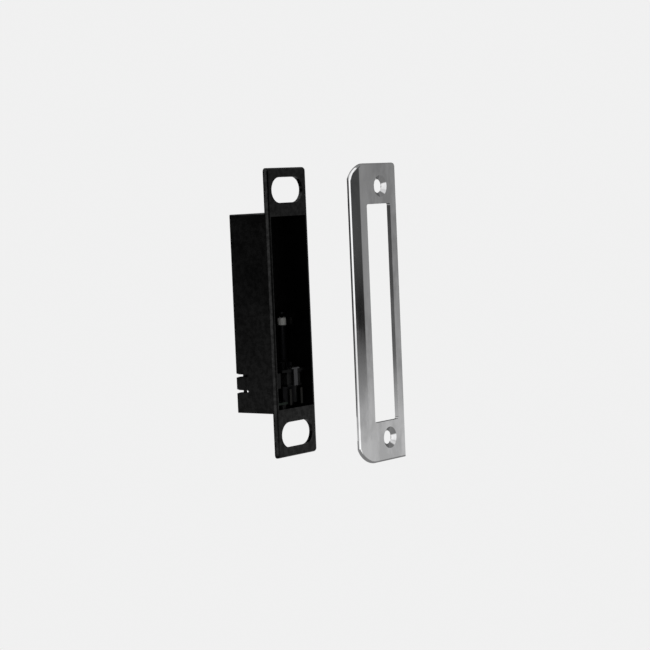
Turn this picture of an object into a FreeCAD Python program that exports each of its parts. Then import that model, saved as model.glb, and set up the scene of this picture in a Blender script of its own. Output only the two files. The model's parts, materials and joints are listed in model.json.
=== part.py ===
import FreeCAD, Part
import math
import os

import Sketcher
from FreeCAD import Placement, Rotation, Vector

# Electric door strike with a motor-driven latch ejector.
# Frame: x to the right seen from the door side, y into the jamb, z up.
# Origin: centre of the tabs' front face, midway between the two adjustment slots.

SIZES = {
    # pressed steel box and its tabs
    "strike_length": 123.825,
    "slot_spacing": 104.775,
    "box_width": 28.0,
    "box_depth": 21.0,
    "box_height": 85.4,
    "side_wall": 1.9,
    "end_wall": 1.5,
    "tab_thick": 1.8,
    "tab_corner": 1.6,
    "press_edge": 0.5,
    "front_round": 1.5,
    "slot_width": 21.4,
    "slot_height": 10.9,
    "cut_length": 6.2,
    "cut_height": 1.0,
    "cut_upper": -26.5,
    "cut_lower": -33.3,
    "mouth_length": 1.4,
    "mouth_height": 2.4,
    "lug_width": 9.0,
    "lug_length": 6.0,
    "lug_thick": 1.5,
    # rear cover and its countersunk screws
    "cover_thick": 1.5,
    "cover_inset": 1.95,
    "cover_gap": 0.1,
    "plug_left": -11.4,
    "plug_right": -3.4,
    "plug_bottom": -38.9,
    "plug_top": -33.2,
    "cover_screw_z": 38.2,
    "frame_screw_x": 8.0,
    "frame_screw_z": -12.7,
    "screw_radius": 1.2,
    "sink_radius": 2.3,
    "sink_depth": 1.1,
    # faceplate; it is drawn seated and then moved out by plate_gap
    "plate_gap": 46.3,
    "plate_rest": 0.2,
    "plate_thick": 1.8,
    "plate_shift": 0.8,
    "plate_right": 11.3,
    "plate_bend": 13.5,
    "window_left": 10.1,
    "window_right": 6.6,
    "window_top": 45.1,
    "window_bottom": 45.3,
    "window_corner": 0.8,
    "lip_radius": 11.0,
    "lip_angle": 34.0,
    "lip_corner": 8.8,
    "lip_tilt": 24.0,
    "lip_spare": 0.1,
    "plate_corner": 1.6,
    "plate_hole": 2.8,
    "plate_sink": 4.5,
    "plate_sink_depth": 1.5,
    "plate_edge": 0.9,
    # bracket that carries the mechanism
    "bracket_half": 11.9,
    "bracket_thick": 1.2,
    "bracket_bottom": -32.6,
    "ear_left": 7.3,
    "ear_front": 11.5,
    "ear_top": -1.6,
    "shelf_top": -24.8,
    "shelf_left": -5.4,
    "shelf_front": 2.6,
    "relief_left": 0.6,
    "relief_right": 9.6,
    "relief_top": -21.5,
    # ejector, its hinge and its roller
    "pin_x": 9.9,
    "pin_y": 13.8,
    "pin_radius": 1.0,
    "pin_head": 1.9,
    "pin_head_height": 0.9,
    "running_gap": 0.05,
    "barrel_radius": 1.9,
    "flap_bottom": -21.9,
    "flap_top": -6.4,
    "flap_front": 14.6,
    "flap_thick": 1.3,
    "flap_start": 9.4,
    "rib_height": 1.4,
    "bushing_top": -3.2,
    "spigot_bottom": -24.5,
    "spigot_radius": 1.4,
    "nose_x": -9.8,
    "nose_y": 14.2,
    "nose_radius": 1.4,
    "roller_radius": 1.7,
    "roller_bore": 0.65,
    "roller_low": -16.6,
    "roller_high": -10.2,
    "roller_room": 0.3,
    "axle_radius": 0.6,
    "axle_low": -19.4,
    "axle_high": -7.4,
    # sector and pinion, module 0.5
    "gear_low": -24.4,
    "gear_thick": 2.2,
    "sector_root": 4.375,
    "sector_hub": 1.85,
    "sector_tip": 5.5,
    "sector_angle": 82.0,
    "sector_lead": 5.0,
    "sector_turn": 153.0,
    "tooth_root": 0.95,
    "tooth_tip": 0.34,
    "tooth_sink": 0.3,
    "pinion_root": 2.875,
    "pinion_tip": 4.0,
    "pinion_turn": 36.0,
    "shaft_x": 3.023,
    "shaft_y": 8.804,
    "shaft_radius": 1.0,
    "shaft_gap": 0.1,
    "shaft_low": -30.0,
    "shaft_high": -22.2,
    "shelf_hole": 1.6,
    # gearmotor
    "motor_width": 10.0,
    "motor_depth": 12.0,
    "gearbox_plate": 0.8,
    "gearbox_bottom": -32.2,
    "gearbox_waist": 0.4,
    "can_bottom": -39.2,
    "cap_bottom": -40.4,
    "cap_inset": 1.9,
    "terminal_width": 1.4,
    "terminal_thick": 0.4,
    "terminal_front": 2.1,
    "terminal_low": -40.2,
    "terminal_high": -33.3,
    "terminal_foot": 4.6,
    # clamp strap and its screw
    "strap_left": 1.9,
    "strap_width": 2.5,
    "strap_front": 2.0,
    "strap_thick": 0.6,
    "strap_bottom": -32.0,
    "strap_foot": 4.3,
    "strap_foot_left": 0.6,
    "strap_foot_width": 5.2,
    "strap_screw_x": 3.2,
    "strap_screw_y": 3.5,
    "strap_screw_radius": 0.5,
    "strap_screw_head": 0.75,
    "strap_screw_height": 0.5,
    # latch switch
    "switch_left": -11.4,
    "switch_width": 5.8,
    "switch_front": 3.5,
    "switch_length": 12.8,
    "switch_height": 6.5,
    "switch_top": -26.0,
    "ear_width": 0.8,
    "ear_length": 1.6,
    "ear_height": 1.5,
    "lever_y": 14.9,
    "lever_z": -25.3,
    "lever_left": -10.1,
    "lever_width": 3.2,
    "lever_tip_y": 4.3,
    "lever_tip_z": -22.7,
    "lever_thick": 0.4,
    "lever_knuckle": 0.55,
    "lever_pin": 0.3,
    "button_left": -9.3,
    "button_width": 1.6,
    "button_front": 10.4,
    "button_length": 1.4,
    "button_low": -27.2,
    "button_high": -24.95,
    "button_room": 0.3,
    "button_travel": 0.7,
    "blade_width": 0.5,
    "blade_length": 2.4,
    "blade_height": 0.9,
    "blade_first": 4.6,
    "blade_pitch": 4.6,
    # limit switch
    "limit_left": -3.2,
    "limit_right": 3.2,
    "limit_front": 13.1,
    "limit_back": 16.1,
    "limit_top": -22.2,
    "plunger_front": 14.1,
    "plunger_width": 1.0,
    "plunger_low": -24.0,
    "plunger_height": 1.0,
    "plunger_tip": 4.1,
    "plunger_tail": 1.9,
    "plunger_travel": 0.5,
    "limit_pin": 0.4,
    "limit_pin_pitch": 1.8,
    "limit_pin_length": 1.6,
    # control board
    "board_left": -11.8,
    "board_right": -2.6,
    "board_front": 2.6,
    "board_back": 15.9,
    "board_low": -39.6,
    "board_thick": 1.0,
    "board_screw_left": -10.6,
    "board_screw_right": -4.2,
    "board_screw_y": 3.7,
    "spacer_radius": 1.1,
    "board_screw_radius": 0.6,
    "board_screw_head": 0.5,
    "chip_left": -10.6,
    "chip_front": 5.0,
    "chip_size": 4.0,
    "chip_height": 1.5,
    "capacitor_x": -4.3,
    "capacitor_y": 8.0,
    "capacitor_radius": 1.35,
    "capacitor_height": 4.4,
    "resistor_left": -5.9,
    "resistor_front": 5.0,
    "resistor_length": 1.6,
    "resistor_width": 0.6,
    "resistor_pitch": 0.9,
    "resistor_height": 0.5,
    "socket_left": -11.2,
    "socket_right": -3.6,
    "socket_front": 9.7,
    "socket_top": -33.4,
    "socket_wall": 0.7,
    "socket_floor": 1.4,
    "contact_size": 0.6,
    "contact_first": -9.8,
    "contact_pitch": 1.6,
    "contact_z": -36.3,
    "contact_length": 4.2,
}
TINY = 1e-6
CONTACT_COUNT = 4
SECTOR_TEETH = 5
PINION_TEETH = 14
TOOTH_PITCH = 18.0
BLADE_COUNT = 3
MARGIN = 1.0

doc = FreeCAD.newDocument("DoorStrike")
sheet = doc.addObject("Spreadsheet::Sheet", "Sizes")


class Size:
    """A length or angle that keeps its number and its spreadsheet expression together."""

    def __init__(self, value, text):
        self.value = value
        self.text = text

    def join(self, other, sign, value):
        return Size(value, f"({self.text} {sign} {other.text})")

    def __add__(self, other):
        other = as_size(other)
        return self.join(other, "+", self.value + other.value)

    def __sub__(self, other):
        other = as_size(other)
        return self.join(other, "-", self.value - other.value)

    def __mul__(self, other):
        other = as_size(other)
        return self.join(other, "*", self.value * other.value)

    def __truediv__(self, other):
        other = as_size(other)
        return self.join(other, "/", self.value / other.value)

    def __neg__(self):
        return self * -1


def as_size(value):
    return value if isinstance(value, Size) else Size(float(value), repr(float(value)))


class Dimensions:
    """The driving sizes, one attribute for each row of the spreadsheet."""


d = Dimensions()
for row, (alias, number) in enumerate(SIZES.items(), start=1):
    sheet.set(f"A{row}", alias.replace("_", " "))
    sheet.set(f"B{row}", repr(number))
    sheet.setAlias(f"B{row}", alias)
    setattr(d, alias, Size(float(number), f"Sizes.{alias}"))
doc.recompute()

ZERO = as_size(0)
PLANES = {
    "XY_Plane": Vector(0, 0, 1),
    "XZ_Plane": Vector(0, -1, 0),
    "YZ_Plane": Vector(1, 0, 0),
}


# ---------------------------------------------------------------- helpers

def new_body(name):
    body = doc.addObject("PartDesign::Body", name)
    body.Label = name
    return body


def is_reversed(plane):
    """True where the plane's normal points against the model axis it is square to."""
    return sum(PLANES[plane]) < 0


def new_sketch(body, name, plane, offset):
    """An empty sketch on one of the body's own planes, moved `offset` along the model axis."""
    sketch = body.newObject("Sketcher::SketchObject", name)
    origin_plane = next(item for item in body.Origin.OriginFeatures if item.Role == plane)
    sketch.AttachmentSupport = (origin_plane, [""])
    sketch.MapMode = "FlatFace"
    along_normal = -offset if is_reversed(plane) else offset
    sketch.setExpression("AttachmentOffset.Base.z", along_normal.text)
    return sketch


def pin_coordinate(sketch, geometry, position, axis, size):
    """Ties one coordinate of a point of a sketch element to its driving size."""
    kind = ("DistanceX", "DistanceY")[axis]
    index = sketch.addConstraint(Sketcher.Constraint(kind, -1, 1, geometry, position, size.value))
    sketch.setExpression(f"Constraints[{index}]", size.text)


def pin_point(sketch, geometry, position, point):
    for axis in (0, 1):
        pin_coordinate(sketch, geometry, position, axis, point[axis])


def draw_circle(sketch, centre, radius):
    where = Vector(centre[0].value, centre[1].value, 0)
    circle = sketch.addGeometry(Part.Circle(where, Vector(0, 0, 1), radius.value), False)
    pin_point(sketch, circle, 3, centre)
    index = sketch.addConstraint(Sketcher.Constraint("Radius", circle, radius.value))
    sketch.setExpression(f"Constraints[{index}]", radius.text)


def flat(point):
    return Vector(point[0].value, point[1].value, 0)


def draw_edge(sketch, point, following):
    """One edge of a loop; returns its number and the positions of its two ends.

    A point given as (x, y, centre) starts an arc of at most a half turn about that centre.
    """
    start, end = flat(point), flat(following)
    if len(point) == 2:
        return sketch.addGeometry(Part.LineSegment(start, end), False), 1, 2
    centre = flat(point[2])
    backwards = (start - centre).cross(end - centre).z < -TINY
    if backwards:
        start, end = end, start
    angles = [math.atan2(spot.y - centre.y, spot.x - centre.x) for spot in (start, end)]
    circle = Part.Circle(centre, Vector(0, 0, 1), (start - centre).Length)
    arc = sketch.addGeometry(Part.ArcOfCircle(circle, *angles), False)
    return (arc, 2, 1) if backwards else (arc, 1, 2)


def draw_loop(sketch, points):
    """A closed outline through the points."""
    followers = points[1:] + points[:1]
    edges = [draw_edge(sketch, point, after) for point, after in zip(points, followers)]
    for (edge, _, last), (following, first, _) in zip(edges, edges[1:] + edges[:1]):
        sketch.addConstraint(Sketcher.Constraint("Coincident", edge, last, following, first))
    for (edge, first, _), point, after in zip(edges, points, followers):
        pin_point(sketch, edge, first, point[:2])
        if len(point) == 3:
            chord = flat(after) - flat(point)
            axis = 0 if abs(chord.y) > abs(chord.x) else 1
            pin_coordinate(sketch, edge, 3, axis, point[2][axis])


def rectangle(left, right, low, high):
    return [(left, low), (right, low), (right, high), (left, high)]


def obround(centre_x, centre_y, width, height):
    """A slot with round ends, longer along the sketch's first axis."""
    end = height / 2
    reach = width / 2 - end
    left, right = centre_x - reach, centre_x + reach
    return [
        (left, centre_y - end),
        (right, centre_y - end, (right, centre_y)),
        (right, centre_y + end),
        (left, centre_y + end, (left, centre_y)),
    ]


def corner_waste(corner_x, corner_y, side_x, side_y, radius):
    """The bit outside a rounded corner; side_x and side_y point from the corner inwards."""
    inner_x = corner_x + radius * side_x
    inner_y = corner_y + radius * side_y
    return [
        (corner_x, corner_y),
        (corner_x, inner_y, (inner_x, inner_y)),
        (inner_x, corner_y),
    ]


def volume(body):
    return 0.0 if body.Shape.isNull() else body.Shape.Volume


def check_change(body, name, before, grows):
    """Stops the build if a feature added or removed nothing."""
    doc.recompute()
    change = volume(body) - before
    if (change if grows else -change) < TINY:
        raise RuntimeError(f"{body.Label}: {name} changed the volume by {change}")


def extrude(body, name, plane, low, high, outline, kind):
    """Pads or pockets an outline between two positions along the plane's model axis."""
    before = volume(body)
    sketch = new_sketch(body, name + "_sketch", plane, low)
    if isinstance(outline, list):
        draw_loop(sketch, outline)
    else:
        draw_circle(sketch, outline[0], outline[1])
    feature = body.newObject(f"PartDesign::{kind}", name)
    feature.Profile = sketch
    feature.setExpression("Length", (high - low).text)
    feature.Reversed = is_reversed(plane) if kind == "Pad" else not is_reversed(plane)
    check_change(body, name, before, kind == "Pad")
    return feature


def pad(body, name, plane, low, high, outline):
    return extrude(body, name, plane, low, high, outline, "Pad")


def pocket(body, name, plane, low, high, outline):
    return extrude(body, name, plane, low, high, outline, "Pocket")


def countersink(body, name, x, z, face_y, depth, wide, narrow, facing):
    """A conical seat about a y-parallel hole; facing is -1 on a front face, 1 on a back face."""
    before = volume(body)
    cone = body.newObject("PartDesign::SubtractiveCone", name)
    cone.setExpression("Radius1", wide.text)
    cone.setExpression("Radius2", narrow.text)
    cone.setExpression("Height", depth.text)
    cone.Placement = Placement(Vector(), Rotation(Vector(1, 0, 0), 90 * facing))
    for axis, size in zip("xyz", (x, face_y, z)):
        cone.setExpression(f"Placement.Base.{axis}", size.text)
    check_change(body, name, before, False)


def soften(body, name, size, wanted):
    """Rounds the edges of the body's last feature that `wanted` picks."""
    before = volume(body)
    base = body.Tip
    names = [f"Edge{i}" for i, edge in enumerate(base.Shape.Edges, start=1) if wanted(edge)]
    fillet = body.newObject("PartDesign::Fillet", name)
    fillet.Base = (base, names)
    fillet.setExpression("Radius", size.text)
    doc.recompute()
    if not names or abs(volume(body) - before) < TINY:
        raise RuntimeError(f"{body.Label}: {name} rounded nothing")


def place(item, x, y, z):
    for axis, size in zip("xyz", (x, y, z)):
        item.setExpression(f"Placement.Base.{axis}", as_size(size).text)


def block(name, x, y, z):
    """A box between (low, high) pairs."""
    box = doc.addObject("Part::Box", name)
    box.Label = name
    for prop, pair in zip(("Length", "Width", "Height"), (x, y, z)):
        box.setExpression(prop, (pair[1] - pair[0]).text)
    place(box, x[0], y[0], z[0])
    return box


AXIS_TURNS = {
    "x": Rotation(Vector(0, 1, 0), 90),
    "y": Rotation(Vector(1, 0, 0), -90),
    "z": Rotation(),
}


def rod(name, axis, start, length, radius):
    """A cylinder that runs from start along a model axis."""
    cylinder = doc.addObject("Part::Cylinder", name)
    cylinder.Label = name
    cylinder.Placement = Placement(Vector(), AXIS_TURNS[axis])
    cylinder.setExpression("Radius", radius.text)
    cylinder.setExpression("Height", length.text)
    place(cylinder, *start)
    return cylinder


def cone(name, axis, start, length, first, last):
    taper = doc.addObject("Part::Cone", name)
    taper.Label = name
    taper.Placement = Placement(Vector(), AXIS_TURNS[axis])
    taper.setExpression("Radius1", first.text)
    taper.setExpression("Radius2", last.text)
    taper.setExpression("Height", length.text)
    place(taper, *start)
    return taper


def combine(kind, name, items):
    result = doc.addObject(f"Part::{kind}", name)
    result.Label = name
    setattr(result, "Links" if kind == "Compound" else "Shapes", items)
    return result


def subtract(name, base, tool):
    result = doc.addObject("Part::Cut", name)
    result.Label = name
    result.Base = base
    result.Tool = tool
    return result


nodes = []


# ---------------------------------------------------------------- steel box

half_width = d.box_width / 2
half_height = d.box_height / 2
half_strike = d.strike_length / 2
room_width = half_width - d.side_wall
room_height = half_height - d.end_wall
slot_z = d.slot_spacing / 2
cover_back = d.box_depth - d.cover_inset
cover_front = cover_back - d.cover_thick

box = new_body("strike_box")
pad(box, "tabs", "XZ_Plane", ZERO, d.tab_thick,
    rectangle(-half_width, half_width, -half_strike, half_strike))
pad(box, "shell", "XZ_Plane", ZERO, d.box_depth,
    rectangle(-half_width, half_width, -half_height, half_height))
pocket(box, "room", "XZ_Plane", -as_size(MARGIN), d.box_depth + MARGIN,
       rectangle(-room_width, room_width, -room_height, room_height))
for side, name in ((1, "upper"), (-1, "lower")):
    pocket(box, f"{name}_slot", "XZ_Plane", -as_size(MARGIN), d.tab_thick + MARGIN,
           obround(ZERO, slot_z * side, d.slot_width, d.slot_height))
    lug_outer = room_height * side
    lug_inner = (room_height - d.lug_length) * side
    pad(box, f"{name}_lug", "XZ_Plane", cover_front - d.lug_thick, cover_front,
        rectangle(-d.lug_width / 2, d.lug_width / 2, lug_inner, lug_outer))
    pocket(box, f"{name}_lug_hole", "XZ_Plane", cover_front - d.lug_thick - MARGIN,
           cover_front + MARGIN, ((ZERO, d.cover_screw_z * side), d.screw_radius))
for height, name in ((d.cut_upper, "upper"), (d.cut_lower, "lower")):
    cut_end = d.box_depth - d.cut_length
    mouth_end = d.box_depth - d.mouth_length
    half_cut = d.cut_height / 2
    half_mouth = d.mouth_height / 2
    pocket(box, f"{name}_cut", "YZ_Plane", -half_width - MARGIN, -room_width + MARGIN, [
        (cut_end + half_cut, height - half_cut),
        (mouth_end, height - half_cut),
        (d.box_depth + MARGIN, height - half_mouth),
        (d.box_depth + MARGIN, height + half_mouth),
        (mouth_end, height + half_cut),
        (cut_end + half_cut, height + half_cut, (cut_end + half_cut, height)),
    ])


def along(edge, axis):
    """True for a straight edge parallel to a model axis."""
    if len(edge.Vertexes) < 2:
        return False
    run = edge.Vertexes[1].Point - edge.Vertexes[0].Point
    return run.Length - abs(run[axis]) < TINY


def outer(edge, axis, reach):
    """True when both ends of the edge lie at plus or minus `reach` on an axis."""
    return all(abs(abs(spot.Point[axis]) - reach.value) < TINY for spot in edge.Vertexes)


soften(box, "tab_corners", d.tab_corner,
       lambda edge: along(edge, 1) and outer(edge, 2, half_strike))
soften(box, "shell_corners", d.press_edge,
       lambda edge: along(edge, 1) and outer(edge, 0, half_width) and outer(edge, 2, half_height))


def front_outline(edge):
    """True for an edge of the front face that lies on the strike's outline."""
    return all(
        abs(spot.Y) < TINY
        and (abs(abs(spot.X) - half_width.value) < TINY
             or abs(abs(spot.Z) - half_strike.value) < TINY)
        for spot in edge.Vertexes)


soften(box, "front_outline", d.front_round, front_outline)
nodes.append(box)

# ---------------------------------------------------------------- rear cover

cover = new_body("rear_cover")
cover_width = room_width - d.cover_gap
cover_height = room_height - d.cover_gap
pad(cover, "sheet", "XZ_Plane", cover_front, cover_back,
    rectangle(-cover_width, cover_width, -cover_height, cover_height))
pocket(cover, "plug_opening", "XZ_Plane", cover_front - MARGIN, cover_back + MARGIN,
       rectangle(d.plug_left, d.plug_right, d.plug_bottom, d.plug_top))
screw_spots = [
    (ZERO, d.cover_screw_z),
    (ZERO, -d.cover_screw_z),
    (-d.frame_screw_x, d.frame_screw_z),
    (d.frame_screw_x, d.frame_screw_z),
]
screws = []
for number, (x, z) in enumerate(screw_spots, start=1):
    pocket(cover, f"screw_hole_{number}", "XZ_Plane", cover_front - MARGIN, cover_back + MARGIN,
           ((x, z), d.screw_radius))
    countersink(cover, f"screw_seat_{number}", x, z, cover_back, d.sink_depth,
                d.sink_radius, d.screw_radius, 1)
    head = cone(f"screw_head_{number}", "y", (x, cover_back - d.sink_depth, z), d.sink_depth,
                d.screw_radius, d.sink_radius)
    shank_start = cover_front - d.bracket_thick
    shank = rod(f"screw_shank_{number}", "y", (x, shank_start, z),
                cover_back - d.sink_depth - shank_start, d.screw_radius)
    screws.append(combine("MultiFuse", f"cover_screw_{number}", [head, shank]))
nodes.append(cover)
nodes.append(combine("Compound", "cover_screws", screws))

# ---------------------------------------------------------------- faceplate

plate = new_body("faceplate")
plate_back = -d.plate_rest
plate_front = plate_back - d.plate_thick
plate_right = d.plate_shift + d.plate_right
bend_x = d.plate_shift - d.plate_bend
pad(plate, "flat", "XZ_Plane", plate_front, plate_back,
    rectangle(bend_x, plate_right, -half_strike, half_strike))

before = volume(plate)
lip_sketch = new_sketch(plate, "lip_sketch", "YZ_Plane", bend_x)
lip_centre = plate_front + d.lip_radius
lip_sketch.setExpression("AttachmentOffset.Base.x", lip_centre.text)
draw_loop(lip_sketch, rectangle(-d.lip_radius, d.plate_thick - d.lip_radius,
                                -half_strike, half_strike))
lip = plate.newObject("PartDesign::Revolution", "lip")
lip.Profile = lip_sketch
lip.ReferenceAxis = (lip_sketch, ["V_Axis"])
lip.setExpression("Angle", d.lip_angle.text)
lip.Reversed = True
check_change(plate, "lip", before, True)



def cut_lip_corner(name, end, side):
    """Rounds a corner of the lip; the cut is nearly square to the lip's surface there."""
    before = volume(plate)
    sweep = math.radians(d.lip_angle.value)
    tilt = math.radians(d.lip_tilt.value)
    lip_end = Vector(bend_x.value - d.lip_radius.value * math.sin(sweep), 0,
                     d.lip_radius.value * math.cos(sweep) - lip_centre.value)
    outwards = Vector(-math.sin(tilt), 0, math.cos(tilt))
    sketch = new_sketch(plate, f"{name}_sketch", "XZ_Plane", ZERO)
    sketch.setExpression("AttachmentOffset.Base.z", None)
    sketch.AttachmentOffset = Placement(
        lip_end + outwards * MARGIN, Rotation(Vector(0, 1, 0), -d.lip_tilt.value))
    draw_loop(sketch, corner_waste(-d.lip_spare, end, 1, -side, d.lip_corner))
    cut = plate.newObject("PartDesign::Pocket", name)
    cut.Profile = sketch
    cut.setExpression("Length", d.lip_radius.text)
    check_change(plate, name, before, False)


plate_low = plate_front - MARGIN
plate_high = plate_back + d.lip_radius
pocket(plate, "window", "XZ_Plane", plate_low, plate_high,
       rectangle(d.plate_shift - d.window_left, d.plate_shift + d.window_right,
                 -d.window_bottom, d.window_top))
for side, name in ((1, "upper"), (-1, "lower")):
    end = half_strike * side
    pocket(plate, f"{name}_hole", "XZ_Plane", plate_low, plate_high,
           ((d.plate_shift, slot_z * side), d.plate_hole))
    countersink(plate, f"{name}_seat", d.plate_shift, slot_z * side, plate_front,
                d.plate_sink_depth, d.plate_sink, d.plate_hole, -1)
    cut_lip_corner(f"{name}_lip_corner", end, side)


def window_corner(edge):
    inside = all(abs(spot.Point.z) < half_height.value + d.plate_thick.value + MARGIN
                 for spot in edge.Vertexes)
    return along(edge, 1) and inside


soften(plate, "window_corners", d.window_corner, window_corner)
soften(plate, "upper_right_corner", d.plate_corner,
       lambda edge: along(edge, 1) and all(
           spot.Point.x > plate_right.value - TINY and spot.Point.z > 0
           for spot in edge.Vertexes))


def lip_outline(edge):
    """True for the front edges of the lip; the rounding runs on from them round the plate."""
    on_lip = all(
        abs(math.hypot(spot.X - bend_x.value, spot.Y - lip_centre.value) - d.lip_radius.value) < TINY
        for spot in edge.Vertexes)
    at_bend = all(abs(spot.X - bend_x.value) < TINY for spot in edge.Vertexes)
    return on_lip and not at_bend


soften(plate, "polished_edge", d.plate_edge, lip_outline)
place(plate, 0, -d.plate_gap, 0)
nodes.append(plate)

# ---------------------------------------------------------------- bracket

bracket = new_body("chassis")
back_face = cover_front - d.bracket_thick
shelf_bottom = d.shelf_top - d.bracket_thick
pad(bracket, "back", "XZ_Plane", back_face, cover_front,
    rectangle(-d.bracket_half, d.bracket_half, d.bracket_bottom, ZERO))
pad(bracket, "shelf", "XY_Plane", shelf_bottom, d.shelf_top,
    rectangle(d.shelf_left, d.bracket_half, d.shelf_front, cover_front))
pad(bracket, "ear", "XY_Plane", d.ear_top - d.bracket_thick, d.ear_top,
    rectangle(d.ear_left, d.bracket_half, d.ear_front, cover_front))
pocket(bracket, "gear_relief", "XZ_Plane", back_face - MARGIN, cover_front + MARGIN,
       rectangle(d.relief_left, d.relief_right, d.shelf_top, d.relief_top))
pocket(bracket, "ear_bore", "XY_Plane", d.ear_top - d.bracket_thick - MARGIN,
       d.ear_top + MARGIN,
       ((d.pin_x, d.pin_y), d.pin_radius))
pocket(bracket, "shelf_bore", "XY_Plane", shelf_bottom - MARGIN, d.shelf_top + MARGIN,
       ((d.pin_x, d.pin_y), d.barrel_radius))
pocket(bracket, "shaft_hole", "XY_Plane", shelf_bottom - MARGIN, d.shelf_top + MARGIN,
       ((d.shaft_x, d.shaft_y), d.shelf_hole))
pocket(bracket, "strap_hole", "XY_Plane", shelf_bottom - MARGIN, d.shelf_top + MARGIN,
       ((d.strap_screw_x, d.strap_screw_y), d.strap_screw_radius))
for side, name in ((1, "right"), (-1, "left")):
    pocket(bracket, f"{name}_thread", "XZ_Plane", back_face - MARGIN, cover_front + MARGIN,
           ((d.frame_screw_x * side, d.frame_screw_z), d.screw_radius))
nodes.append(bracket)

# ---------------------------------------------------------------- ejector and hinge

flap = new_body("ejector")
flap_back = d.flap_front + d.flap_thick
hinge = (d.pin_x, d.pin_y)
nose = (d.nose_x, d.nose_y)
roller_cut_low = d.roller_low - d.roller_room
roller_cut_high = d.roller_high + d.roller_room
pad(flap, "barrel", "XY_Plane", d.flap_bottom, d.flap_top, (hinge, d.barrel_radius))
pad(flap, "spigot", "XY_Plane", d.spigot_bottom, d.flap_bottom, (hinge, d.spigot_radius))
pad(flap, "leaf", "XY_Plane", d.flap_bottom, d.flap_top,
    rectangle(d.nose_x, d.flap_start, d.flap_front, flap_back))
pad(flap, "nose", "XY_Plane", d.flap_bottom, d.flap_top, (nose, d.nose_radius))
for name, low in (("upper", d.flap_top - d.flap_thick), ("lower", d.flap_bottom)):
    pad(flap, f"{name}_rib", "XY_Plane", low, low + d.flap_thick,
        rectangle(d.nose_x, d.flap_start, d.flap_front - d.rib_height, flap_back))
pocket(flap, "roller_room", "XY_Plane", roller_cut_low, roller_cut_high,
       rectangle(d.nose_x - d.roller_radius - MARGIN, d.nose_x + d.roller_radius + d.roller_room,
                 d.nose_y - d.roller_radius - MARGIN, flap_back + MARGIN))
pocket(flap, "bore", "XY_Plane", d.spigot_bottom - MARGIN, d.flap_top + MARGIN,
       (hinge, d.pin_radius + d.running_gap))
pocket(flap, "axle_bore", "XY_Plane", d.axle_low, d.axle_high, (nose, d.axle_radius))
nodes.append(flap)

bushing = subtract(
    "upper_bushing",
    rod("bushing_outside", "z", (*hinge, d.flap_top), d.bushing_top - d.flap_top,
        d.barrel_radius),
    rod("bushing_inside", "z", (*hinge, d.flap_top - MARGIN),
        d.bushing_top - d.flap_top + MARGIN * 2, d.pin_radius + d.running_gap))
nodes.append(bushing)

ring = subtract(
    "lower_bushing",
    rod("ring_outside", "z", (*hinge, shelf_bottom), d.bracket_thick, d.barrel_radius),
    rod("ring_inside", "z", (*hinge, shelf_bottom - MARGIN), d.bracket_thick + MARGIN * 2,
        d.pin_radius))
nodes.append(ring)

nodes.append(combine("MultiFuse", "ejector_pin", [
    rod("pin_shank", "z", (*hinge, shelf_bottom), d.ear_top - shelf_bottom, d.pin_radius),
    rod("pin_cap", "z", (*hinge, d.ear_top), d.pin_head_height, d.pin_head),
]))

nodes.append(rod("roller_pin", "z", (*nose, d.axle_low), d.axle_high - d.axle_low,
                 d.axle_radius))
roller_length = d.roller_high - d.roller_low
nodes.append(subtract(
    "nose_roller",
    rod("roller_outside", "z", (*nose, d.roller_low), roller_length, d.roller_radius),
    rod("roller_inside", "z", (*nose, d.roller_low - MARGIN), roller_length + MARGIN * 2,
        d.roller_bore)))


# ---------------------------------------------------------------- gears

def add_teeth(gear, root, tip, count, span):
    """One straight-sided tooth on the x axis, repeated about z over the span in degrees."""
    half_root = d.tooth_root / 2
    half_tip = d.tooth_tip / 2
    pad(gear, "tooth", "XY_Plane", ZERO, d.gear_thick, [
        (root - d.tooth_sink, -half_root),
        (tip, -half_tip),
        (tip, half_tip),
        (root - d.tooth_sink, half_root),
    ])
    tooth = gear.Tip
    teeth = gear.newObject("PartDesign::PolarPattern", "teeth")
    teeth.Originals = [tooth]
    z_axis = next(item for item in gear.Origin.OriginFeatures if item.Role == "Z_Axis")
    teeth.Axis = (z_axis, [""])
    teeth.Angle = span
    teeth.Occurrences = count
    gear.Tip = teeth
    doc.recompute()


sector = new_body("sector_gear")
before = volume(sector)
sector_sketch = new_sketch(sector, "arm_sketch", "XZ_Plane", ZERO)
sector_sketch.AttachmentOffset = Placement(
    Vector(), Rotation(Vector(0, 1, 0), -d.sector_lead.value))
draw_loop(sector_sketch, rectangle(d.spigot_radius, d.sector_root, ZERO, d.gear_thick))
arm = sector.newObject("PartDesign::Revolution", "arm")
arm.Profile = sector_sketch
arm.ReferenceAxis = (sector_sketch, ["V_Axis"])
arm.setExpression("Angle", d.sector_angle.text)
check_change(sector, "arm", before, True)
pad(sector, "hub", "XY_Plane", ZERO, d.gear_thick, ((ZERO, ZERO), d.sector_hub))
pocket(sector, "hub_bore", "XY_Plane", ZERO - MARGIN, d.gear_thick + MARGIN,
       ((ZERO, ZERO), d.spigot_radius))
add_teeth(sector, d.sector_root, d.sector_tip, SECTOR_TEETH, TOOTH_PITCH * (SECTOR_TEETH - 1))
sector.Placement = Placement(Vector(), Rotation(Vector(0, 0, 1), d.sector_turn.value))
place(sector, *hinge, d.gear_low)
nodes.append(sector)

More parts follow.
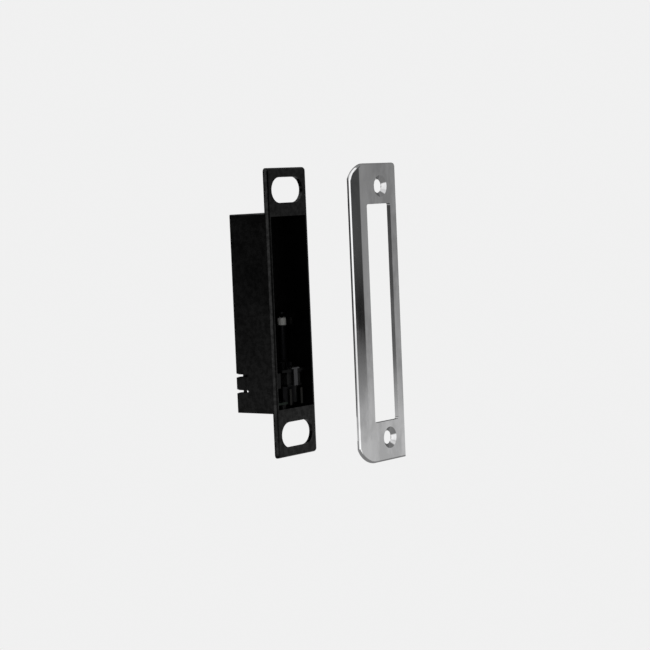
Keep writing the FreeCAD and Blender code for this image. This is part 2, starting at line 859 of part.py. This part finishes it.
pinion = new_body("pinion")
pad(pinion, "hub", "XY_Plane", ZERO, d.gear_thick, ((ZERO, ZERO), d.pinion_root))
add_teeth(pinion, d.pinion_root, d.pinion_tip, PINION_TEETH, 360)
pocket(pinion, "bore", "XY_Plane", ZERO - MARGIN, d.gear_thick + MARGIN,
       ((ZERO, ZERO), d.shaft_radius))
pinion.Placement = Placement(Vector(), Rotation(Vector(0, 0, 1), d.pinion_turn.value))
shaft_spot = (d.shaft_x, d.shaft_y)
place(pinion, *shaft_spot, d.gear_low)
nodes.append(pinion)
nodes.append(rod("motor_shaft", "z", (*shaft_spot, d.shaft_low), d.shaft_high - d.shaft_low,
                 d.shaft_radius))

# ---------------------------------------------------------------- gearmotor

half_motor_x = d.motor_width / 2
half_motor_y = d.motor_depth / 2
motor_x = (d.shaft_x - half_motor_x, d.shaft_x + half_motor_x)
motor_y = (d.shaft_y - half_motor_y, d.shaft_y + half_motor_y)
waist_x = (motor_x[0] + d.gearbox_waist, motor_x[1] - d.gearbox_waist)
waist_y = (motor_y[0] + d.gearbox_waist, motor_y[1] - d.gearbox_waist)
case_top = shelf_bottom - d.gearbox_plate
case_bottom = d.gearbox_bottom + d.gearbox_plate
bore_start = (*shaft_spot, d.shaft_low - d.shaft_gap)
bore_radius = d.shaft_radius + d.shaft_gap

nodes.append(subtract(
    "gearbox_case",
    block("case_solid", waist_x, waist_y, (case_bottom, case_top)),
    rod("case_bore", "z", bore_start, case_top - d.shaft_low + MARGIN, bore_radius)))
nodes.append(combine("Compound", "gearbox_plates", [
    subtract("upper_plate",
             block("upper_plate_solid", motor_x, motor_y, (case_top, shelf_bottom)),
             rod("plate_bore", "z", bore_start, shelf_bottom - d.shaft_low + MARGIN,
                 bore_radius)),
    block("lower_plate", motor_x, motor_y, (d.gearbox_bottom, case_bottom)),
]))


def motor_section(name, low, high, inset):
    """A round section with two flats, like the can of a small motor."""
    return combine("MultiCommon", name, [
        rod(f"{name}_round", "z", (*shaft_spot, low), high - low, half_motor_y - inset),
        block(f"{name}_flats", (motor_x[0] + inset, motor_x[1] - inset), motor_y, (low, high)),
    ])


nodes.append(motor_section("motor_can", d.can_bottom, d.gearbox_bottom, ZERO))
nodes.append(motor_section("motor_cap", d.cap_bottom, d.can_bottom, d.cap_inset))


def terminal(name, left):
    """A solder tab that leaves the end cap and is folded up in front of the can."""
    across = (left, left + d.terminal_width)
    front = (d.terminal_front, d.terminal_front + d.terminal_thick)
    foot_top = d.terminal_low + d.terminal_thick
    return combine("MultiFuse", name, [
        block(f"{name}_tab", across, front, (d.terminal_low, d.terminal_high)),
        block(f"{name}_foot", across, (d.terminal_front, d.terminal_front + d.terminal_foot),
              (d.terminal_low, foot_top)),
    ])


nodes.append(combine("Compound", "motor_terminals", [
    terminal("right_terminal", motor_x[1] - d.cap_inset),
    terminal("left_terminal", motor_x[0] + d.cap_inset - d.terminal_width),
]))

strap_high = d.shelf_top + d.strap_thick
nodes.append(subtract(
    "motor_strap",
    combine("MultiFuse", "strap_solid", [
        block("strap_leg", (d.strap_left, d.strap_left + d.strap_width),
              (d.strap_front, d.strap_front + d.strap_thick), (d.strap_bottom, strap_high)),
        block("strap_foot", (d.strap_foot_left, d.strap_foot_left + d.strap_foot_width),
              (d.strap_front, d.strap_foot), (d.shelf_top, strap_high)),
    ]),
    rod("strap_bore", "z", (d.strap_screw_x, d.strap_screw_y, d.shelf_top - MARGIN),
        d.strap_thick + MARGIN * 2, d.strap_screw_radius)))
nodes.append(combine("MultiFuse", "strap_screw", [
    rod("strap_shank", "z", (d.strap_screw_x, d.strap_screw_y, shelf_bottom),
        strap_high - shelf_bottom, d.strap_screw_radius),
    rod("strap_head", "z", (d.strap_screw_x, d.strap_screw_y, strap_high),
        d.strap_screw_height, d.strap_screw_head),
]))

# ---------------------------------------------------------------- latch switch

switch_x = (d.switch_left, d.switch_left + d.switch_width)
switch_bottom = d.switch_top - d.switch_height
switch = new_body("latch_switch_case")
pad(switch, "case", "XY_Plane", switch_bottom, d.switch_top,
    rectangle(*switch_x, d.switch_front, d.switch_front + d.switch_length))
for side, left in (("left", switch_x[0]), ("right", switch_x[1] - d.ear_width)):
    pad(switch, f"{side}_ear", "XY_Plane", d.switch_top, d.switch_top + d.ear_height,
        rectangle(left, left + d.ear_width,
                  d.lever_y - d.ear_length / 2, d.lever_y + d.ear_length / 2))
pocket(switch, "pivot_bore", "YZ_Plane", switch_x[0] - MARGIN, switch_x[1] + MARGIN,
       ((d.lever_y, d.lever_z), d.lever_pin + d.running_gap))
pocket(switch, "button_well", "XY_Plane", d.button_low - d.button_travel - d.button_room,
       d.switch_top + MARGIN,
       rectangle(d.button_left - d.button_room, d.button_left + d.button_width + d.button_room,
                 d.button_front - d.button_room,
                 d.button_front + d.button_length + d.button_room))
nodes.append(switch)

nodes.append(block("latch_switch_button", (d.button_left, d.button_left + d.button_width),
                   (d.button_front, d.button_front + d.button_length),
                   (d.button_low, d.button_high)))

lever = new_body("latch_switch_lever")
lever_side = (d.lever_left, d.lever_left + d.lever_width)
pad(lever, "blade", "YZ_Plane", *lever_side, [
    (d.lever_tip_y, d.lever_tip_z),
    (d.lever_y, d.lever_z),
    (d.lever_y, d.lever_z + d.lever_thick),
    (d.lever_tip_y, d.lever_tip_z + d.lever_thick),
])
pivot = (d.lever_y, d.lever_z)
pad(lever, "knuckle", "YZ_Plane", *lever_side, (pivot, d.lever_knuckle))
pad(lever, "pivot_pin", "YZ_Plane", *switch_x, (pivot, d.lever_pin))
nodes.append(lever)

blade_z = (switch_bottom - d.blade_height, switch_bottom)
blade_x = (switch_x[0] + (d.switch_width - d.blade_length) / 2,
           switch_x[1] - (d.switch_width - d.blade_length) / 2)
blades = []
for number in range(BLADE_COUNT):
    front = d.blade_first + d.blade_pitch * number
    blades.append(block(f"blade_{number + 1}", blade_x, (front, front + d.blade_width), blade_z))
nodes.append(combine("Compound", "latch_switch_terminals", blades))

# ---------------------------------------------------------------- limit switch

plunger_y = (d.plunger_front, d.plunger_front + d.plunger_width)
plunger_z = (d.plunger_low, d.plunger_low + d.plunger_height)
nodes.append(subtract(
    "limit_switch_case",
    block("limit_solid", (d.limit_left, d.limit_right), (d.limit_front, d.limit_back),
          (d.shelf_top, d.limit_top)),
    block("limit_well",
          (d.plunger_tail - d.plunger_travel - d.button_room, d.limit_right + MARGIN),
          (plunger_y[0] - d.button_room, plunger_y[1] + d.button_room),
          (plunger_z[0] - d.button_room, plunger_z[1] + d.button_room))))
nodes.append(block("limit_switch_button", (d.plunger_tail, d.plunger_tip), plunger_y, plunger_z))
limit_pins = []
for number in range(2):
    left = d.limit_left - d.limit_pin_length
    front = d.limit_front + d.limit_pin + d.limit_pin_pitch * number
    limit_pins.append(block(f"limit_pin_{number + 1}", (left, d.limit_left),
                            (front, front + d.limit_pin),
                            (d.shelf_top + d.limit_pin, d.shelf_top + d.limit_pin * 2)))
nodes.append(combine("Compound", "limit_switch_pins", limit_pins))

# ---------------------------------------------------------------- control board

board_high = d.board_low + d.board_thick
board_spots = [(d.board_screw_left, d.board_screw_y), (d.board_screw_right, d.board_screw_y)]
board = block("board_sheet", (d.board_left, d.board_right), (d.board_front, d.board_back),
              (d.board_low, board_high))
board_holes = []
spacers = []
board_screws = []
for number, spot in enumerate(board_spots, start=1):
    board_holes.append(rod(f"board_hole_{number}", "z", (*spot, d.board_low - MARGIN),
                           d.board_thick + MARGIN * 2, d.board_screw_radius))
    spacers.append(subtract(
        f"spacer_{number}",
        rod(f"spacer_outside_{number}", "z", (*spot, -room_height),
            d.board_low + room_height, d.spacer_radius),
        rod(f"spacer_inside_{number}", "z", (*spot, -room_height - MARGIN),
            d.board_low + room_height + MARGIN * 2, d.board_screw_radius)))
    board_screws.append(combine("MultiFuse", f"board_screw_{number}", [
        rod(f"board_shank_{number}", "z", (*spot, -room_height), board_high + room_height,
            d.board_screw_radius),
        rod(f"board_head_{number}", "z", (*spot, board_high), d.board_screw_head,
            d.spacer_radius),
    ]))
nodes.append(subtract("control_board", board, combine("Compound", "board_holes", board_holes)))
nodes.append(combine("Compound", "board_spacers", spacers))
nodes.append(combine("Compound", "board_screws", board_screws))

nodes.append(block("driver_chip", (d.chip_left, d.chip_left + d.chip_size),
                   (d.chip_front, d.chip_front + d.chip_size),
                   (board_high, board_high + d.chip_height)))
nodes.append(rod("capacitor", "z", (d.capacitor_x, d.capacitor_y, board_high),
                 d.capacitor_height, d.capacitor_radius))
resistors = []
for number in range(2):
    front = d.resistor_front + d.resistor_pitch * number
    resistors.append(block(f"resistor_{number + 1}",
                           (d.resistor_left, d.resistor_left + d.resistor_length),
                           (front, front + d.resistor_width),
                           (board_high, board_high + d.resistor_height)))
nodes.append(combine("Compound", "board_resistors", resistors))

socket_x = (d.socket_left, d.socket_right)
nodes.append(subtract(
    "wire_connector",
    block("socket_solid", socket_x, (d.socket_front, d.board_back), (board_high, d.socket_top)),
    block("socket_well", (socket_x[0] + d.socket_wall, socket_x[1] - d.socket_wall),
          (d.socket_front + d.socket_floor, d.board_back + MARGIN),
          (board_high + d.socket_wall, d.socket_top - d.socket_wall))))
contacts = []
for number in range(CONTACT_COUNT):
    left = d.contact_first + d.contact_pitch * number
    front = d.socket_front + d.socket_floor
    contacts.append(block(f"contact_{number + 1}", (left, left + d.contact_size),
                          (front, front + d.contact_length),
                          (d.contact_z, d.contact_z + d.contact_size)))
nodes.append(combine("Compound", "connector_pins", contacts))

# ---------------------------------------------------------------- checks and export

doc.recompute()
for item in doc.Objects:
    if "Invalid" in item.State or "Error" in item.State:
        raise RuntimeError(f"{item.Label} did not build: {item.State}")
os.makedirs("parts", exist_ok=True)
for node in nodes:
    if node.Shape.isNull() or not node.Shape.isValid():
        raise RuntimeError(f"{node.Label} has no valid shape")
    node.Shape.exportStep(f"parts/{node.Label}.step")
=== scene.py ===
import json
import math

import bpy
from mathutils import Matrix, Vector


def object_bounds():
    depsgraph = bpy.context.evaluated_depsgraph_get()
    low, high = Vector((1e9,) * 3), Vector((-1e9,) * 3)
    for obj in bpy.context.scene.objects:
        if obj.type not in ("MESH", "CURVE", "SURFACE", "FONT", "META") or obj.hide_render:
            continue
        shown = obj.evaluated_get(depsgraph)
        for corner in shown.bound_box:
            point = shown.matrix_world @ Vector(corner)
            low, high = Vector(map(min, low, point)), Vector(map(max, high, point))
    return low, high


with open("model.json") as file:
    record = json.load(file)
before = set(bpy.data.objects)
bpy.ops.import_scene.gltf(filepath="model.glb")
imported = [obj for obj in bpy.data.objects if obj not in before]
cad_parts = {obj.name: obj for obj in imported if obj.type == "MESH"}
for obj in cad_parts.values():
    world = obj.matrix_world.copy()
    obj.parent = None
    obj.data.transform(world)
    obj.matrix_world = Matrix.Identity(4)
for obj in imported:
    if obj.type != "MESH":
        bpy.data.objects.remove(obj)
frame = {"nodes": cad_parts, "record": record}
cad_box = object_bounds()

MM = 0.001


# ---------------------------------------------------------------- camera

AZIMUTH = math.radians(53.0)
ELEVATION = math.radians(3.8)
ROLL = math.radians(-2.4)
DISTANCE = 900 * MM
LENS = 117.5
SENSOR = 36.0
NEAREST = 10 * MM
AIM = Vector((-0.3, -17.5, -5.5)) * MM


def place_camera():
    """Looks at the strike from its front left, a little above, with a slight roll."""
    back = Vector((
        -math.sin(AZIMUTH) * math.cos(ELEVATION),
        -math.cos(AZIMUTH) * math.cos(ELEVATION),
        math.sin(ELEVATION),
    ))
    level = Vector((0, 0, 1)).cross(back).normalized()
    upright = back.cross(level)
    right = level * math.cos(ROLL) + upright * math.sin(ROLL)
    up = upright * math.cos(ROLL) - level * math.sin(ROLL)
    data = bpy.data.cameras.new("camera")
    data.lens = LENS
    data.sensor_width = SENSOR
    data.clip_start = NEAREST
    camera = bpy.data.objects.new("camera", data)
    turn = Matrix((right, up, back)).transposed().to_4x4()
    camera.matrix_world = Matrix.Translation(AIM + back * DISTANCE) @ turn
    bpy.context.scene.collection.objects.link(camera)
    bpy.context.scene.camera = camera


# ---------------------------------------------------------------- node helpers

# Socket numbers of the mix node, which has one set for colours and one for numbers.
COLOUR_FACTOR = 0
COLOUR_A = 6
COLOUR_B = 7
COLOUR_RESULT = 2
FLOAT_FACTOR = 0
FLOAT_A = 2
FLOAT_B = 3
FLOAT_RESULT = 0


class Graph:
    """Short calls for building a node tree."""

    def __init__(self, tree):
        self.tree = tree
        tree.nodes.clear()

    def add(self, kind, inputs=None, **settings):
        """A new node; inputs holds sockets or plain values by name or number."""
        node = self.tree.nodes.new(kind)
        for name, value in settings.items():
            setattr(node, name, value)
        for key, value in (inputs or {}).items():
            self.feed(node.inputs[key], value)
        return node

    def feed(self, socket, value):
        """Links a socket, or sets a plain value."""
        if isinstance(value, bpy.types.NodeSocket):
            self.tree.links.new(value, socket)
        elif value is not None:
            socket.default_value = value

    def calc(self, operation, a, b):
        """The result of one arithmetic operation on a and b."""
        return self.add("ShaderNodeMath", {0: a, 1: b}, operation=operation).outputs[0]

    def ramp(self, value, low, high, out_low=0.0, out_high=1.0):
        """A smooth step from out_low, where the value is low, to out_high, where it is high."""
        node = self.add("ShaderNodeMapRange", {
            "Value": value, "From Min": low, "From Max": high,
            "To Min": out_low, "To Max": out_high,
        }, interpolation_type="SMOOTHSTEP")
        return node.outputs["Result"]

    def mix(self, factor, a, b):
        """Colour a where the factor is 0, and b where it is 1."""
        inputs = {COLOUR_FACTOR: factor, COLOUR_A: a, COLOUR_B: b}
        return self.add("ShaderNodeMix", inputs, data_type="RGBA").outputs[COLOUR_RESULT]

    def float_mix(self, factor, a, b):
        """Number a where the factor is 0, and b where it is 1."""
        inputs = {FLOAT_FACTOR: factor, FLOAT_A: a, FLOAT_B: b}
        return self.add("ShaderNodeMix", inputs, data_type="FLOAT").outputs[FLOAT_RESULT]

    def noise(self, place, scale, detail=3.0, roughness=0.5, stretch=None):
        """Clouds of noise; scale is in features per metre."""
        if stretch:
            place = self.add("ShaderNodeMapping", {0: place, "Scale": stretch}).outputs[0]
        return self.add("ShaderNodeTexNoise", {
            "Vector": place, "Scale": scale, "Detail": detail, "Roughness": roughness,
        }).outputs["Fac"]


def shade(level):
    """A neutral grey."""
    return (level, level, level, 1.0)


# ---------------------------------------------------------------- studio

# Brightness of the paper behind the strike and of the parts of the room.
PAPER = 0.876
WINDOW = 1.5
CEILING_LEFT = 1.2
CEILING_RIGHT = 0.3
FLOOR_FAR = 0.7
FLOOR_NEAR = 0.3
CARD_LOW = 0.42
CARD_HIGH = 0.34
SHADOW_LOW = 0.022
SHADOW_HIGH = 0.085
SKIRTING = 0.16
BACK_LOW = 0.13
BACK_HIGH = 0.08

# The floor under the strike.
FLOOR_DROP = 60 * MM
FLOOR_RADIUS = 3.0
FLOOR_CORNERS = 96


def build_world():
    """The room: a window on the left, a grey card front right, dark walls and a pale floor.

    Heights are sines of the angle above the horizon, seen from the strike.
    """
    world = bpy.data.worlds.new("studio")
    world.use_nodes = True
    bpy.context.scene.world = world
    g = Graph(world.node_tree)
    way = g.add("ShaderNodeTexCoord").outputs["Generated"]
    height = g.add("ShaderNodeSeparateXYZ", {0: way}).outputs["Z"]
    flat = g.add("ShaderNodeVectorMath", {0: way, 1: (1, 1, 0)}, operation="MULTIPLY").outputs[0]
    bearing = g.add("ShaderNodeVectorMath", {0: flat}, operation="NORMALIZE").outputs[0]

    def sector(middle, half, edge):
        """One inside a sector of the horizon, zero outside; angles in degrees from +x."""
        angle = math.radians(middle)
        node = g.add("ShaderNodeVectorMath", {
            0: bearing, 1: (math.cos(angle), math.sin(angle), 0)}, operation="DOT_PRODUCT")
        outer = math.cos(math.radians(half + edge))
        inner = math.cos(math.radians(half - edge))
        return g.ramp(node.outputs["Value"], outer, inner)

    # Walls: dark in front with a lighter skirting, a dark back wall, and the grey card.
    front = g.ramp(height, -0.064, -0.03, SHADOW_LOW, SHADOW_HIGH)
    front = g.float_mix(g.ramp(height, -0.069, -0.08), front, SKIRTING)
    back = g.ramp(height, -0.06, 0.0, BACK_LOW, BACK_HIGH)
    card = g.ramp(height, -0.09, 0.01, CARD_LOW, CARD_HIGH)
    wall = g.float_mix(sector(120, 45, 10), front, back)
    wall = g.float_mix(sector(336, 22, 3), wall, card)

    # Floor below them and ceiling above, which is darker on the right.
    floor = g.ramp(height, -0.125, -0.5, FLOOR_FAR, FLOOR_NEAR)
    room = g.float_mix(g.ramp(height, -0.07, -0.125), wall, floor)
    ceiling = g.float_mix(sector(0, 80, 10), CEILING_LEFT, CEILING_RIGHT)
    room = g.float_mix(g.ramp(height, 0.25, 0.6), room, ceiling)

    # The window, from low on the left wall upwards.
    window = g.calc("MULTIPLY", sector(207, 43, 4), g.ramp(height, -0.5, -0.3))
    room = g.float_mix(window, room, WINDOW)

    # The camera sees plain paper; only the strike sees the room.
    lit = g.add("ShaderNodeBackground", {"Color": room, "Strength": 1.0})
    paper = g.add("ShaderNodeBackground", {"Color": shade(PAPER), "Strength": 1.0})
    seen = g.add("ShaderNodeLightPath").outputs["Is Camera Ray"]
    both = g.add("ShaderNodeMixShader", {0: seen, 1: lit.outputs[0], 2: paper.outputs[0]})
    g.add("ShaderNodeOutputWorld", {"Surface": both.outputs[0]})


def build_floor():
    """A pale sheet under the strike, as bright as the paper behind it."""
    low = cad_box[0][2]
    bpy.ops.mesh.primitive_circle_add(
        vertices=FLOOR_CORNERS, radius=FLOOR_RADIUS, fill_type="NGON",
        location=(0, 0, low - FLOOR_DROP))
    floor = bpy.context.object
    floor.name = "floor"
    material = bpy.data.materials.new("paper")
    material.use_nodes = True
    g = Graph(material.node_tree)
    glow = g.add("ShaderNodeEmission", {"Color": shade(PAPER), "Strength": 1.0})
    g.add("ShaderNodeOutputMaterial", {"Surface": glow.outputs[0]})
    floor.data.materials.append(material)
    floor.visible_glossy = False
    floor.visible_diffuse = False
    floor.visible_shadow = False


# ---------------------------------------------------------------- material builders

def start_material(name):
    """A new material, its node graph and the place on the object in metres."""
    material = bpy.data.materials.new(name)
    material.use_nodes = True
    g = Graph(material.node_tree)
    place = g.add("ShaderNodeTexCoord").outputs["Object"]
    return material, g, place


def finish_material(g, sockets, bumps):
    """Adds the shader; bumps is a list of (height socket, depth in metres)."""
    normal = None
    for height, depth in bumps:
        node = g.add("ShaderNodeBump", {"Height": height, "Distance": depth, "Strength": 1.0})
        if normal is not None:
            g.feed(node.inputs["Normal"], normal)
        normal = node.outputs["Normal"]
    shader = g.add("ShaderNodeBsdfPrincipled", sockets)
    if normal is not None:
        g.feed(shader.inputs["Normal"], normal)
    g.add("ShaderNodeOutputMaterial", {"Surface": shader.outputs[0]})


def scaled(tone, share):
    """The opaque colour that is the given share of a tone."""
    return tuple(channel * share for channel in tone) + (1.0,)


def steel_finish(name, tone, rough, grain_way, polish=1.0):
    """Bare or plated steel with a directional grain, stains and faint smudges."""
    material, g, place = start_material(name)
    grain = g.noise(place, 900, 3, 0.6, grain_way)
    smudge = g.noise(place, 45, 4, 0.6)
    blotch = g.noise(place, 160, 4, 0.6, (1, 1, 0.35))
    stain = g.noise(place, 70, 4, 0.65, (1, 1, 0.5))
    colour = g.mix(g.ramp(blotch, 0.35, 0.65), scaled(tone, 0.9), scaled(tone, 1.0))
    colour = g.mix(g.ramp(stain, 0.62, 0.45), scaled(tone, 0.76), colour)
    gloss = g.calc("ADD", g.ramp(smudge, 0.4, 0.7, rough * 0.75, rough * 1.3),
                   g.ramp(grain, 0.25, 0.75, -rough * 0.2, rough * 0.2))
    finish_material(g, {
        "Base Color": colour, "Metallic": 1.0, "Roughness": gloss,
    }, [(grain, 0.0012 * MM / polish)])
    return material


def plastic_finish(name, tone, rough, gleam):
    """Moulded plastic with a faint mottling and a spark-eroded texture."""
    material, g, place = start_material(name)
    mottle = g.noise(place, 220, 3, 0.5)
    texture = g.noise(place, 2600, 2, 0.6)
    colour = g.mix(g.ramp(mottle, 0.3, 0.7), scaled(tone, 0.8), scaled(tone, 1.0))
    gloss = g.ramp(texture, 0.3, 0.7, rough - 0.08, rough + 0.08)
    finish_material(g, {
        "Base Color": colour, "Roughness": gloss, "Specular IOR Level": gleam,
    }, [(texture, 0.008 * MM)])
    return material


# ---------------------------------------------------------------- materials, named by slot

# How far each axis of the grain's noise is stretched.
ALONG_Z = (1.0, 1.0, 0.03)
DRAWN = (1.0, 1.0, 0.2)
EVEN = (1.0, 1.0, 1.0)


def black_steel(name):
    """Black zinc on pressed steel: cloudy satin black with a fine orange peel."""
    material, g, place = start_material(name)
    cloud = g.noise(place, 60, 4, 0.55)
    grain = g.noise(place, 1800, 2, 0.6)
    rub = g.noise(place, 350, 5, 0.65, (1, 1, 0.3))
    fleck = g.noise(place, 420, 5, 0.7)
    colour = g.mix(g.ramp(cloud, 0.35, 0.7), shade(0.0005), shade(0.0012))
    colour = g.mix(g.ramp(rub, 0.6, 0.8, 0, 0.5), colour, shade(0.006))
    rough = g.calc("ADD", g.ramp(cloud, 0.3, 0.7, 0.13, 0.22),
                   g.ramp(grain, 0.3, 0.7, -0.03, 0.03))
    gleam = g.calc("MULTIPLY", g.ramp(fleck, 0.42, 0.58, 0.13, 0.24),
                   g.ramp(rub, 0.35, 0.6, 0.85, 1.0))
    finish_material(g, {
        "Base Color": colour, "Roughness": rough, "Specular IOR Level": gleam,
    }, [(grain, 0.006 * MM), (rub, 0.012 * MM)])
    return material


def polished_stainless(name):
    """The faceplate: mirror bright, with an upright grain."""
    return steel_finish(name, (0.66, 0.66, 0.665), 0.07, ALONG_Z, 4)


def zinc_steel(name):
    """The motor's clamp strap, the motor shaft and the roller's pin; the plated steel's tone is
    darkened as painted shade of the box's dim inside.
    """
    # Painted shade: a tone of 0.08, far below bright zinc plating, stands in for the shade inside
    # the box.
    return steel_finish(name, (0.08, 0.08, 0.084), 0.38, EVEN)


def dark_zinc_steel(name):
    """The chassis and the rear cover's screws."""
    return steel_finish(name, (0.007, 0.007, 0.0075), 0.42, EVEN)


def cast_zinc(name):
    """The ejector's flap, die-cast and rougher than the pressed parts."""
    return steel_finish(name, (0.006, 0.006, 0.0065), 0.5, EVEN, 0.3)


def motor_steel(name):
    """The drawn motor can."""
    return steel_finish(name, (0.008, 0.008, 0.0085), 0.4, DRAWN)


def blackened_steel(name):
    """Oil-blackened gears, gearbox plates, hinge pin, switch lever and small screws."""
    return steel_finish(name, (0.006, 0.006, 0.0065), 0.45, EVEN)


def tinned_brass(name):
    """Dull terminals and connector pins, their tone darkened far below tinned brass as painted
    shade of the box's dim inside.
    """
    # Painted shade: the tone of 0.018 is far darker than tinned brass and stands in for the shade
    # inside the box.
    return steel_finish(name, (0.018, 0.0175, 0.016), 0.4, EVEN)


def nylon_light(name):
    """Natural nylon: the hinge bushings and the switch buttons."""
    return plastic_finish(name, (0.24, 0.24, 0.23), 0.45, 0.4)


def nylon_black(name):
    """Black nylon: roller, gearbox case, motor cap, switch cases, spacers and connector."""
    return plastic_finish(name, (0.004, 0.004, 0.004), 0.5, 0.15)


def chip_black(name):
    """The black resin of the driver chip and the resistors."""
    return plastic_finish(name, (0.005, 0.005, 0.0055), 0.6, 0.15)


def capacitor_sleeve(name):
    """Dark blue shrink sleeve."""
    return plastic_finish(name, (0.006, 0.008, 0.014), 0.35, 0.2)


def board_green(name):
    """Green solder mask with copper tracks showing through."""
    material, g, place = start_material(name)
    tracks = g.add("ShaderNodeTexWave", {
        "Vector": place, "Scale": 260.0, "Distortion": 6.0, "Detail": 1.0,
        "Detail Scale": 2.0,
    }).outputs["Fac"]
    mottle = g.noise(place, 300, 3)
    lines = g.ramp(tracks, 0.62, 0.7)
    colour = g.mix(g.ramp(mottle, 0.3, 0.7), (0.0006, 0.004, 0.0015, 1), (0.001, 0.006, 0.0025, 1))
    colour = g.mix(lines, colour, (0.002, 0.010, 0.004, 1))
    finish_material(g, {
        "Base Color": colour, "Roughness": g.ramp(mottle, 0.3, 0.7, 0.3, 0.45),
        "Specular IOR Level": 0.15,
    }, [(lines, 0.02 * MM)])
    return material


MAKERS = {maker.__name__: maker for maker in (
    black_steel, polished_stainless, zinc_steel, dark_zinc_steel, cast_zinc, motor_steel,
    blackened_steel, tinned_brass, nylon_light, nylon_black, chip_black, capacitor_sleeve,
    board_green,
)}

# Edges that turn by more than this stay crisp.
SHARP = math.radians(32)


def dress_nodes():
    """Gives every CAD node the material of its slot."""
    slots = {part["node"]: part["material_slot"] for part in frame["record"]["subparts"]}
    made = {slot: MAKERS[slot](slot) for slot in sorted(set(slots.values()))}
    for node, item in frame["nodes"].items():
        item.data.materials.clear()
        item.data.materials.append(made[slots[node]])
        item.data.shade_smooth()
        item.data.set_sharp_from_angle(angle=SHARP)


bpy.context.scene.view_settings.view_transform = "Standard"
place_camera()
build_world()
build_floor()
dress_nodes()
